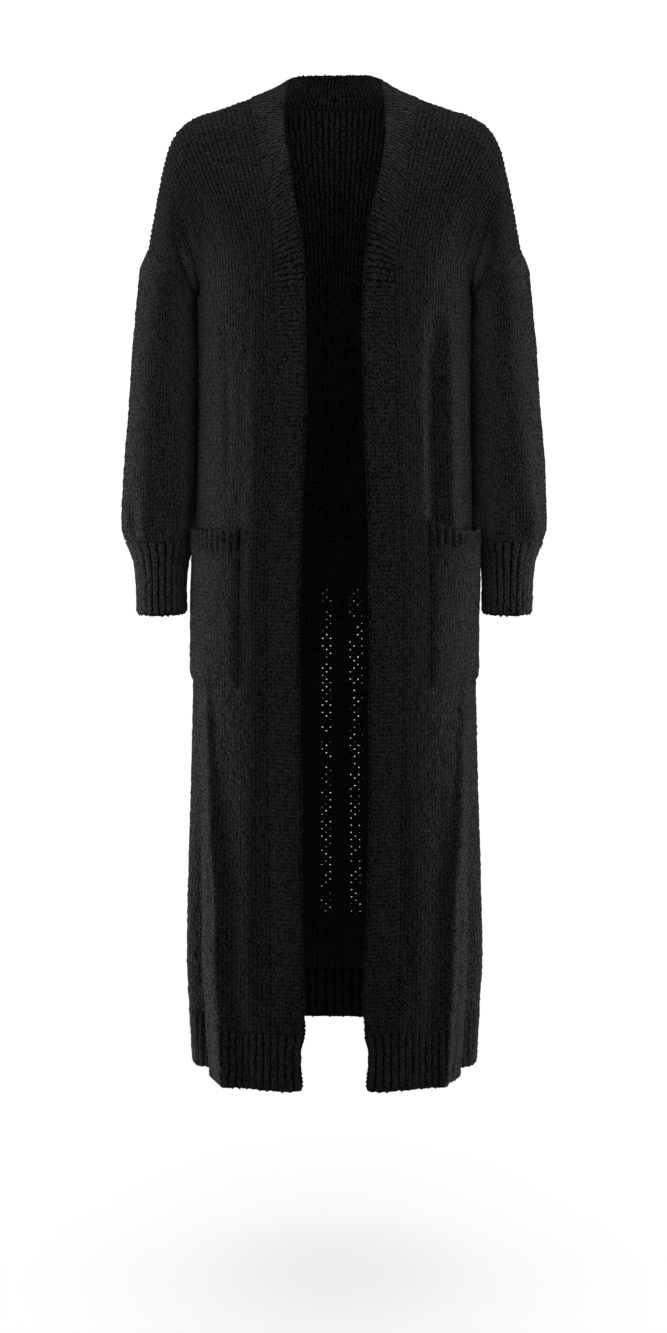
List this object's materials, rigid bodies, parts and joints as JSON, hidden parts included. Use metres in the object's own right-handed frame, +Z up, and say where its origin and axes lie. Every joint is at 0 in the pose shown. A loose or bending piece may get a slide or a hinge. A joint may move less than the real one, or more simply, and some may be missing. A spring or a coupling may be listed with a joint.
{
  "type": "duster cardigan",
  "caption": "Ankle-length open-front knitted cardigan in its worn shape, with dropped sleeves, ribbed band, cuffs and hem, and patch pockets.",
  "frame": {"origin": "between the shoulders, at the height of the neck ends of the shoulder seams and at mid depth of the chest, where the wearer's shoulders carry the cardigan", "axes": "+X to the viewer's right as seen from the front (the wearer's left), +Y to the back, +Z up; the front faces -Y"},
  "size_m": [0.5006, 0.2911, 1.1676],
  "materials": {
    "plain_knit": "matte black brushed plain knit",
    "rib_knit": "matte black ribbed knit"
  },
  "bodies": {
    "root": {"front_left": "plain_knit", "front_right": "plain_knit", "back": "plain_knit", "sleeve_left": "plain_knit", "sleeve_right": "plain_knit", "pocket_left": "plain_knit", "pocket_right": "plain_knit", "cuff_left": "rib_knit", "cuff_right": "rib_knit", "front_band": "rib_knit", "hem_left": "rib_knit", "hem_right": "rib_knit", "hem_back": "rib_knit"}
  },
  "joints": []
}
